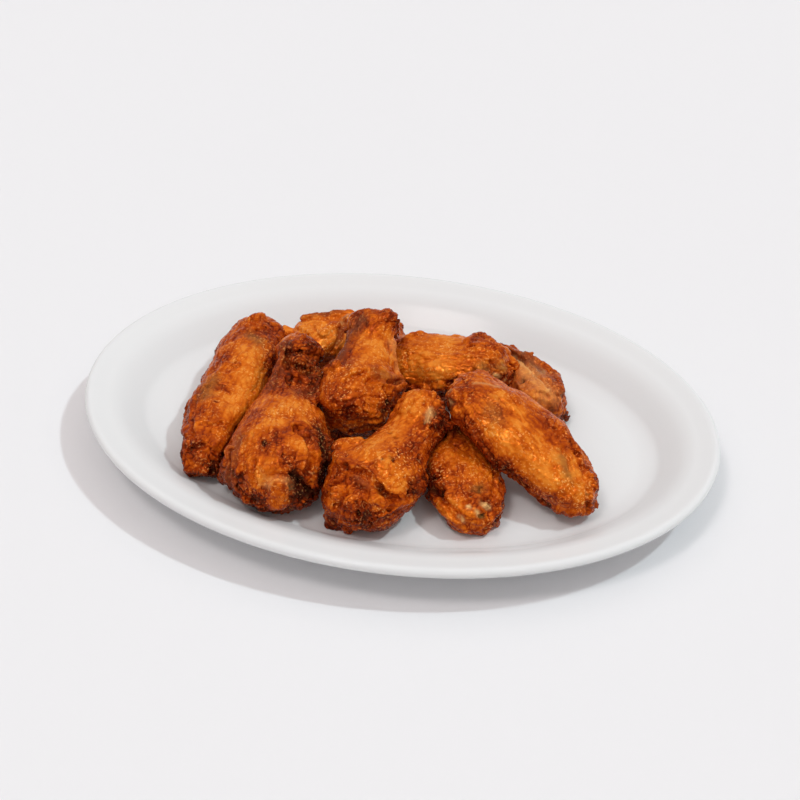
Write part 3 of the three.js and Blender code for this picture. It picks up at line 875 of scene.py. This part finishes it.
def roughen(skin, bone, rough, crisp, seed):
    """Gives the skin its wrinkles, blisters and grain; returns its height, wrinkles and streaks."""
    points = skin.points
    crooked = warped(points, size=3.2, amount=1.1, seed=seed)
    wrinkles = grooves(along_bone(crooked, bone, stretch=3), size=2.0, width=0.2, seed=seed + 3)
    wrinkles *= by_roughness(WRINKLE_SHARE, rough)
    cross = grooves(along_bone(crooked, bone, stretch=0.6), size=2.4, width=0.2, seed=seed + 4)
    cross *= by_roughness(CROSS_SHARE, rough)
    swaying = warped(points, size=2, amount=0.5, seed=seed + 6)
    streaks = noise(along_bone(swaying, bone, stretch=4), size=0.9, seed=seed + 7)
    patchy = np.clip(0.6 + 0.9 * noise(points, size=6, seed=seed + 9), 0, 1)
    blisters = 0.6 - domes(crooked, size=2.1, foot=0.9, seed=seed + 5)
    pimples = 0.5 - domes(points, size=1.15, foot=0.9, seed=seed + 8)
    bristling = warped(points, size=1.5, amount=0.5, seed=seed + 12)
    grit = 0.5 - np.sqrt(domes(bristling, size=1.7, foot=1.0, seed=seed + 13))
    height = -WRINKLE_DEPTH * wrinkles - CROSS_DEPTH * cross
    height += blisters * patchy * by_roughness(BLISTER_RISE, rough)
    height += pimples * by_roughness(PIMPLE_RISE, rough) + grit * CRISP_GRIT * crisp
    grain = by_roughness(GRAIN_RISE, rough) + CRISP_GRAIN * crisp
    height += streaks * STREAK_RISE + noise(points, size=0.9, seed=seed + 11) * grain
    skin.push(height)
    return height, np.maximum(wrinkles, cross), streaks


def broad_tone(skin, wing, weights, seed):
    """How brown each part of a piece is, before its relief, with painted shade on skin that doesn't face up.
    """
    tone = wing["tone"] + BROWN_GAIN * (weights["brown"] + weights["char"]) + CRISP_GAIN * weights["crisp"]
    tone += 0.18 * noise(skin.points, 13, seed + 11) + 0.17 * noise(skin.points, 5, seed + 12)
    # Painted shade: skin that faces sideways or down is painted browner.
    facing_up = skin.blur(skin.normals()[:, 2], times=20)
    tone += SIDE_SHADE_GAIN * np.clip(SIDE_SHADE_LIMIT - facing_up, 0, SIDE_SHADE_LIMIT) - 0.06
    return tone * (1 - weights["gold"]) + GOLD_TONE * weights["gold"]


def make_wing(name, wing, seed, material):
    skin, solid, hidden = base_skin(name, wing, random.Random(seed))
    weights = tint_weights(skin, solid, wing)
    crisp = weights["crisp"]
    tone = broad_tone(skin, wing, weights, seed)
    rough = skin.blur(np.clip((tone - ROUGH_FROM) * 1.5, 0, 1), times=8)
    form = crumple(skin, rough, seed + 30)
    form += carve(skin, solid, wing, hidden)
    fine, lines, streaks = roughen(skin, wing["bone"], rough, crisp, seed + 50)
    pits = skin.blur(form + fine, times=14) - (form + fine)
    edges = fine - skin.blur(fine, times=3)
    points = skin.points
    tone += 0.1 * noise(points, 2.4, seed + 13) + 0.05 * noise(points, 1.1, seed + 14) - 0.06
    # Painted shade and highlight: browner in the wrinkle grooves and the dips of the fine relief, lighter on
    # its tops.
    tone += STREAK_GAIN * streaks + WRINKLE_SHADE_GAIN * lines - RELIEF_SHADE_GAIN * np.clip(edges, -0.3, 0.25)
    # Painted shade: the hollows of the relief are painted browner.
    tone += np.clip(pits, 0, 1) * by_roughness(PIT_SHADE_GAIN, rough)
    # Charred skin and painted shade: the char tints, the deepest pits and the dips of crisp skin are painted
    # nearly black.
    char = weights["char"] * (0.75 + 0.5 * noise(points, 1.4, seed + 15))
    char += 0.5 * np.clip(pits - PIT_SHADE_FROM, 0, 1) + crisp * np.clip(-2.5 * edges - 0.15, 0, 0.45)
    # Painted highlights: glints on the tops of the fine relief, and more where the gleam tints lie.
    glint = np.clip(0.6 + 4 * edges, 0, 1) * np.clip(0.6 + noise(points, 5, seed + 16), 0, 1)
    skin.attribute("brown", tone)
    skin.attribute("char", char)
    skin.attribute("glint", 0.5 * glint + 0.6 * weights["gleam"])
    for colour in ("cream", "olive", "plum"):
        skin.attribute(colour, weights[colour])
    skin.write()
    piece = make_object(name + "_skin", skin.mesh)
    skin.mesh.materials.clear()
    skin.mesh.materials.append(material)
    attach(piece, "root")
    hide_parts(name)


class Nodes:
    """Short ways to add and join the nodes of a tree."""

    def __init__(self, tree):
        self.tree = tree

    def fill(self, socket, value):
        """Joins another node's output to a socket, or sets the socket to a colour, number or vector."""
        if isinstance(value, bpy.types.NodeSocket):
            self.tree.links.new(value, socket)
        elif isinstance(value, tuple):
            socket.default_value = (*value, 1)
        else:
            socket.default_value = value

    def node(self, kind, output, inputs, **values):
        """Adds a node with its values and inputs, and returns one of its outputs."""
        node = self.tree.nodes.new(kind)
        for key, value in values.items():
            setattr(node, key, value)
        for name, value in inputs.items():
            self.fill(node.inputs[name], value)
        return node.outputs[output]

    def attribute(self, name):
        return self.node("ShaderNodeAttribute", "Fac", {}, attribute_name=name)

    def noise(self, scale, detail, roughness):
        place = self.node("ShaderNodeTexCoord", "Object", {})
        inputs = {"Vector": place, "Scale": scale, "Detail": detail, "Roughness": roughness}
        return self.node("ShaderNodeTexNoise", "Fac", inputs)

    def spread(self, value, low, high):
        """A value from 0 to 1 widened or narrowed to run from low to high."""
        return self.node("ShaderNodeMapRange", "Result", {"Value": value, "To Min": low, "To Max": high})

    def above(self, value, low, high):
        """0 up to a low value, 1 from a high value on."""
        inputs = {"Value": value, "From Min": low, "From Max": high}
        return self.node("ShaderNodeMapRange", "Result", inputs, interpolation_type="SMOOTHSTEP")

    def math(self, operation, a, b):
        return self.node("ShaderNodeMath", 0, {0: a, 1: b}, operation=operation)

    def ramp(self, value, stops):
        """Colours that follow a value, through (place, colour) stops."""
        colour = self.node("ShaderNodeValToRGB", "Color", {"Fac": value})
        elements = colour.node.color_ramp.elements
        while len(elements) < len(stops):
            elements.new(0.5)
        for element, (place, shade) in zip(elements, stops):
            element.position = place
            element.color = (*shade, 1)
        return colour

    def mix(self, share, a, b):
        return self.node("ShaderNodeMix", "Result", {"Factor": share, "A": a, "B": b}, data_type="RGBA")

    def bump(self, height, strength, distance):
        inputs = {"Height": height, "Strength": strength, "Distance": distance}
        return self.node("ShaderNodeBump", "Normal", inputs)


class Paint(Nodes):
    """A material and the nodes of its shader."""

    def __init__(self, name):
        self.material = bpy.data.materials.new(name)
        self.material.use_nodes = True
        super().__init__(self.material.node_tree)

    def shaded(self, inputs):
        for name, value in inputs.items():
            self.fill(self.tree.nodes["Principled BSDF"].inputs[name], value)
        return self.material


def fried_skin():
    n = Paint("fried_skin_oily")
    # Painted glints: small spots where the glint attribute lies are painted lighter and mixed toward the
    # glint colour.
    painted_glint_spots = n.above(n.noise(scale=1000, detail=2, roughness=0.5), low=0.56, high=0.65)
    glint = n.math("MULTIPLY", n.attribute("glint"), painted_glint_spots)
    grain = n.spread(n.noise(scale=600, detail=4, roughness=0.6), low=-0.2, high=0.2)
    brown = n.math("ADD", n.attribute("brown"), grain)
    brown = n.math("ADD", brown, n.math("MULTIPLY", glint, -0.6))
    colour = n.ramp(brown, SKIN_COLOURS)
    colour = n.mix(n.attribute("plum"), colour, PLUM_COLOUR)
    colour = n.mix(n.attribute("olive"), colour, OLIVE_COLOUR)
    # Cream cartilage and crumbs, and painted highlights.
    colour = n.mix(n.attribute("cream"), colour, CREAM_AND_HIGHLIGHT_COLOUR)
    # Charred skin and painted shade, mixed toward nearly black.
    colour = n.mix(n.attribute("char"), colour, CHAR_AND_SHADE_COLOUR)
    colour = n.mix(n.math("MULTIPLY", glint, 0.56), colour, GLINT_COLOUR)
    return n.shaded({
        "Base Color": colour,
        "Roughness": n.spread(n.noise(scale=330, detail=3, roughness=0.6), low=0.04, high=0.32),
        "Normal": n.bump(n.noise(scale=800, detail=3, roughness=0.6), strength=0.3, distance=0.0005),
        "IOR": 1.45,
        "Metallic": 0.15,
        "Specular IOR Level": n.spread(n.attribute("char"), low=0.28, high=0.08),
        "Specular Tint": SHEEN_COLOUR,
    })


def white_glaze():
    n = Paint("white_glaze")
    return n.shaded({
        "Base Color": n.ramp(n.noise(scale=9, detail=3, roughness=0.5), GLAZE_COLOURS),
        "Roughness": n.spread(n.noise(scale=20, detail=2, roughness=0.5), low=0.14, high=0.18),
        "IOR": 1.5,
        "Specular IOR Level": 0.13,
    })


def floor_paint():
    n = Paint("floor_pale")
    tone = n.ramp(n.noise(scale=2, detail=2, roughness=0.5), FLOOR_COLOURS)
    return n.shaded({"Base Color": tone, "Roughness": 0.9, "Specular IOR Level": 0.1})


def ease(t):
    return t * t * (3 - 2 * t)


def curve_through(points, steps):
    """Smooth curve through points, a cubic from each to the next."""
    points = [2 * points[0] - points[1], *points, 2 * points[-1] - points[-2]]
    out = []
    for a, b, c, d in zip(points, points[1:], points[2:], points[3:]):
        for k in range(steps):
            t = k / steps
            bend = (2 * a - 5 * b + 4 * c - d) * t**2 + (3 * b - a - 3 * c + d) * t**3
            out.append(0.5 * (2 * b + (c - a) * t + bend))
    return out + [points[-2]]


def upper_section():
    """The section from the well over the wall and the rim."""
    wall_top = LIP_ROLL + RIM_BAND
    wall_foot = wall_top + WALL_RUN
    rim_low = CREST_HEIGHT - RIM_RISE
    section = [(wall_foot + inset, WELL_FLOOR + rise) for inset, rise in WELL_EDGE]
    for step in range(1, WALL_STEPS):
        t = step / WALL_STEPS
        climb = t + WALL_SOFTNESS * (ease(t) - t)
        section.append((wall_foot - t * WALL_RUN, WELL_FLOOR + climb * (rim_low - WELL_FLOOR)))
    across, up = RIM_MIDDLE
    section.append((wall_top, rim_low))
    section.append((wall_top - RIM_BAND * across, rim_low + RIM_RISE * up))
    return section


def roll_section():
    """The rolled edge, from its inner side over the crest and round to its underside."""
    section = []
    for k in range(ROLL_STEPS + 1):
        angle = math.pi * (ROLL_START - ROLL_TURN * k / ROLL_STEPS)
        inset = LIP_ROLL * (1 - math.cos(angle))
        section.append((inset, CREST_HEIGHT - LIP_ROLL * (1 - math.sin(angle))))
    return section


def lower_section():
    """The underside from the roll in to the foot ring and the middle."""
    rim_low = CREST_HEIGHT - RIM_RISE
    foot_end = FOOT_INSET + FOOT_WIDTH
    base = WELL_FLOOR - BASE_THICKNESS
    inset, rise = WALL_END
    section = [(LIP_ROLL + RIM_BAND, rim_low - WALL_THICKNESS)]
    section.append((FOOT_INSET + inset, WELL_FLOOR - WALL_THICKNESS + rise))
    section += [(FOOT_INSET + inset, height) for inset, height in FOOT_OUTSIDE]
    section += [(foot_end + inset, height) for inset, height in FOOT_INSIDE]
    section += [(foot_end + inset, base + rise) for inset, rise in BASE_EDGE]
    return section


def platter_section():
    roll = roll_section()
    upper = curve_through([np.array(spot, float) for spot in upper_section() + roll[:1]], CURVE_STEPS)
    lower = curve_through([np.array(spot, float) for spot in roll[-1:] + lower_section()], CURVE_STEPS)
    section = upper[:-1] + [np.array(spot) for spot in roll] + lower[1:]
    return [(inset, max(z, 0)) for inset, z in section]


def make_platter(material):
    section = platter_section()
    verts = [(0, 0, WELL_FLOOR * MM)]
    for inset, z in section:
        for k in range(PLATTER_STEPS):
            angle = 2 * math.pi * k / PLATTER_STEPS
            x = (PLATTER_LENGTH / 2 - inset) * math.cos(angle)
            y = (PLATTER_WIDTH / 2 - inset) * math.sin(angle)
            verts.append((x * MM, y * MM, z * MM))
    verts.append((0, 0, (WELL_FLOOR - BASE_THICKNESS) * MM))
    last = len(verts) - 1
    last_ring = last - PLATTER_STEPS
    faces = []
    for k in range(PLATTER_STEPS):
        after = (k + 1) % PLATTER_STEPS
        faces.append((0, 1 + k, 1 + after))
        faces.append((last, last_ring + after, last_ring + k))
        for ring in range(len(section) - 1):
            low = 1 + ring * PLATTER_STEPS
            high = low + PLATTER_STEPS
            faces.append((low + k, high + k, high + after, low + after))
    mesh = make_mesh("platter_glazed", verts, faces)
    turn_smooth(mesh)
    mesh.materials.append(material)
    platter = make_object("platter_glazed", mesh)
    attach(platter, "root")
    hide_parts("platter")


def make_floor(material):
    corners = [(-1, -1), (1, -1), (1, 1), (-1, 1)]
    verts = [(x * FLOOR_HALF, y * FLOOR_HALF, 0) for x, y in corners]
    mesh = make_mesh("floor", verts, [(0, 1, 2, 3)])
    mesh.materials.append(material)
    floor = make_object("floor", mesh)


def turn_to(obj, direction, axis, up):
    obj.rotation_mode = "QUATERNION"
    obj.rotation_quaternion = direction.to_track_quat(axis, up)


def make_camera():
    data = bpy.data.cameras.new("camera")
    data.lens = LENS
    data.sensor_width = SENSOR
    data.clip_start = 0.05
    data.clip_end = 20
    camera = make_object("camera", data)
    camera.location = EYE * MM
    turn_to(camera, -TO_CAMERA, "-Z", "Y")
    bpy.context.scene.camera = camera


def make_lamp():
    sun = bpy.data.lights.new("key", "SUN")
    sun.energy = KEY_STRENGTH
    sun.angle = math.radians(KEY_ANGLE)
    sun.color = KEY_COLOUR
    key = make_object("key", sun)
    key.visible_glossy = False
    turn_to(key, camera_direction(CAMERA_AZIMUTH + KEY_TURN, KEY_ELEVATION), "Z", "Y")


def make_sky():
    world = bpy.data.worlds.new("studio")
    bpy.context.scene.world = world
    world.use_nodes = True
    n = Nodes(world.node_tree)

    def glow(value, steps):
        most = max(level for _, level in steps)
        stops = [(place, [c * level / most for c in SKY_COLOUR]) for place, level in steps]
        return n.node("ShaderNodeBackground", 0, {"Color": n.ramp(value, stops), "Strength": most})

    sight = n.node("ShaderNodeTexCoord", "Generated", {})
    height = n.node("ShaderNodeSeparateXYZ", "Z", {"Vector": sight})
    panel = Vector(PANEL_DIRECTION).normalized()
    facing = n.node("ShaderNodeVectorMath", "Value", {0: sight, 1: panel}, operation="DOT_PRODUCT")
    glows = {0: glow(height, SKY_STEPS), 1: glow(facing, PANEL_STEPS)}
    n.fill(n.tree.nodes["World Output"].inputs["Surface"], n.node("ShaderNodeAddShader", 0, glows))


bpy.context.scene.view_settings.view_transform = "Standard"
make_camera()
make_lamp()
make_sky()
make_floor(floor_paint())
make_platter(white_glaze())
skin_material = fried_skin()
for number, (wing_name, wing_facts) in enumerate(WINGS.items()):
    make_wing(wing_name, wing_facts, 100 + 20 * number, skin_material)
